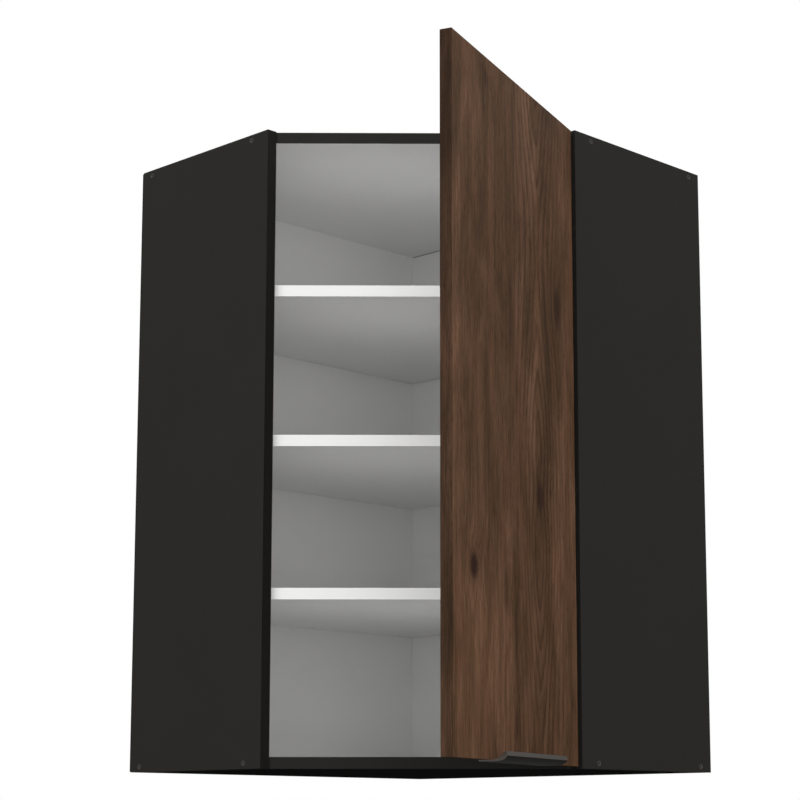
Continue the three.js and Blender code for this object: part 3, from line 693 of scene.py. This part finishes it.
def sheet_nails(bm):
    """Nails through the hardboard into the side panel, both decks and the back board's edge."""
    spots = [(WALL_RUN - NAIL_INSET, z) for z in (*NAIL_LEVELS, HIGHEST_AT_SIDE)]
    spots += [(v, z) for v in NAILS_ALONG_DECKS for z in (NAIL_INSET, HEIGHT - NAIL_INSET)]
    spots += [(CORNER_INSET, z) for z in (*NAIL_LEVELS, HIGHEST_AT_CORNER)]
    for v, z in spots:
        nail_head(bm, ALONG_V * v + Vector((0, 0, z)), -ALONG_U)


piece("back_sheet_nails", sheet_nails, [zinc], "carcass")


# ---------------------------------------------------------------- stage and camera
STAGE_LEVEL = -1.4
STAGE_HALF = 60

# The camera as a pinhole in the 800 pixel square picture. Its angles are in degrees.
PICTURE = 800
CAMERA_AT = (-0.0209, -3.4279, -0.0785)
CAMERA_YAW = 0.48
CAMERA_PITCH = 9.15
FOCAL_PIXELS = 2057.7
AXIS_PIXEL = 423.3
SHIFT_UP = 0.12
SENSOR = 36


def placed(name, data, at=(0, 0, 0)):
    made = bpy.data.objects.new(name, data)
    made.location = at
    bpy.context.scene.collection.objects.link(made)
    return made


def aim(obj, direction):
    obj.rotation_euler = Vector(direction).to_track_quat("-Z", "Y").to_euler()


def build_floor():
    bm = bmesh.new()
    bmesh.ops.create_grid(bm, x_segments=1, y_segments=1, size=STAGE_HALF)
    mesh = bpy.data.meshes.new("floor")
    bm.to_mesh(mesh)
    bm.free()
    s = Shade("pale_floor")
    cloud = s.noise(s.position, 0.7, detail=3)
    s.set(
        base_color=s.ramp(cloud, [(NOISE_LOW, (0.84, 0.84, 0.83)), (NOISE_HIGH, (0.87, 0.87, 0.86))]),
        roughness=0.9,
    )
    mesh.materials.append(s.material)
    floor = placed("floor", mesh, (0, 0, STAGE_LEVEL))
    floor.visible_diffuse = False
    floor.visible_glossy = False


def build_camera():
    yaw, pitch = math.radians(CAMERA_YAW), math.radians(CAMERA_PITCH)
    data = bpy.data.cameras.new("camera")
    data.sensor_width = SENSOR
    data.lens = FOCAL_PIXELS / PICTURE * SENSOR
    data.shift_x = (PICTURE / 2 - AXIS_PIXEL) / PICTURE
    data.shift_y = SHIFT_UP
    data.dof.use_dof = False
    camera = placed("camera", data, CAMERA_AT)
    aim(camera, (math.sin(yaw) * math.cos(pitch), math.cos(yaw) * math.cos(pitch), math.sin(pitch)))
    bpy.context.scene.camera = camera


# ---------------------------------------------------------------- light
MIDDLE = (0, -0.5, 0.4)
REAR_MIDDLE = (0, -0.2, 0.4)
SOFT_BOXES = [  # name, place, what it looks at, side in metres, watts
    ("front", (0.1, -4.2, 0.3), MIDDLE, 1.9, 20),
    ("key", (-1.8, -3.4, 2.2), MIDDLE, 2.0, 6),
    ("fill", (2.6, -3.0, 1.4), MIDDLE, 2.0, 13),
    ("rear", (-1.5, 3.0, 2.2), REAR_MIDDLE, 2.2, 25),
]
OVERHEAD_STRENGTH = 3.3
OVERHEAD_SPREAD = 50  # degrees
OVERHEAD_DIRECTION = (0.08, 0.8, -0.8)

# The surround's strength, by the height and the depth of a direction, from -1 to 1.
SURROUND = 0.93  # in front, level and above
LOWER_SHARE = 0.4  # of that, in front and below
FRONT_RISE = (-0.7, 0.05)
BACK_LOW = 0.06  # behind, level and below
BACK_HIGH = 0.9  # behind and above
BACK_RISE = (0.02, 0.40)
FRONT_TO_BACK = (-0.25, 0.35)


def soft_box(name, at, target, size, power):
    data = bpy.data.lights.new(name, "AREA")
    data.shape = "SQUARE"
    data.size = size
    data.energy = power
    aim(placed(name, data, at), Vector(target) - Vector(at))


def overhead():
    data = bpy.data.lights.new("overhead", "SUN")
    data.energy = OVERHEAD_STRENGTH
    data.angle = math.radians(OVERHEAD_SPREAD)
    aim(placed("overhead", data), OVERHEAD_DIRECTION)


def surround_strength(tree):
    """The surround's strength in a direction: brighter in front than behind, and dimmer below."""
    place = tree.nodes.new("ShaderNodeTexCoord")
    direction = tree.nodes.new("ShaderNodeSeparateXYZ")
    tree.links.new(place.outputs["Generated"], direction.inputs[0])
    _, depth, height = direction.outputs

    def span(value, limits, levels):
        node = tree.nodes.new("ShaderNodeMapRange")
        node.interpolation_type = "SMOOTHSTEP"
        tree.links.new(value, node.inputs[0])
        for socket, number in zip(list(node.inputs)[1:5], (*limits, *levels)):
            socket.default_value = number
        return node.outputs[0]

    front = span(height, FRONT_RISE, (SURROUND * LOWER_SHARE, SURROUND))
    back = span(height, BACK_RISE, (BACK_LOW, BACK_HIGH))
    behind = span(depth, FRONT_TO_BACK, (0.0, 1.0))
    blend = tree.nodes.new("ShaderNodeMix")
    blend.data_type = "FLOAT"
    for socket, value in zip(blend.inputs[:1] + blend.inputs[2:4], (behind, front, back)):
        tree.links.new(value, socket)
    return blend.outputs[0]


def build_world():
    """White to the camera; as light, a pale surround."""
    world = bpy.data.worlds.new("studio")
    bpy.context.scene.world = world
    world.use_nodes = True
    tree = world.node_tree
    tree.nodes.clear()
    out = tree.nodes.new("ShaderNodeOutputWorld")
    mix = tree.nodes.new("ShaderNodeMixShader")
    ray = tree.nodes.new("ShaderNodeLightPath")
    seen = tree.nodes.new("ShaderNodeBackground")
    seen.inputs["Color"].default_value = (1, 1, 1, 1)
    glow = tree.nodes.new("ShaderNodeBackground")
    tree.links.new(surround_strength(tree), glow.inputs["Strength"])
    tree.links.new(ray.outputs["Is Camera Ray"], mix.inputs[0])
    tree.links.new(glow.outputs[0], mix.inputs[1])
    tree.links.new(seen.outputs[0], mix.inputs[2])
    tree.links.new(mix.outputs[0], out.inputs[0])


build_floor()
build_camera()
build_world()
for box in SOFT_BOXES:
    soft_box(*box)
overhead()
bpy.context.scene.view_settings.view_transform = "Standard"
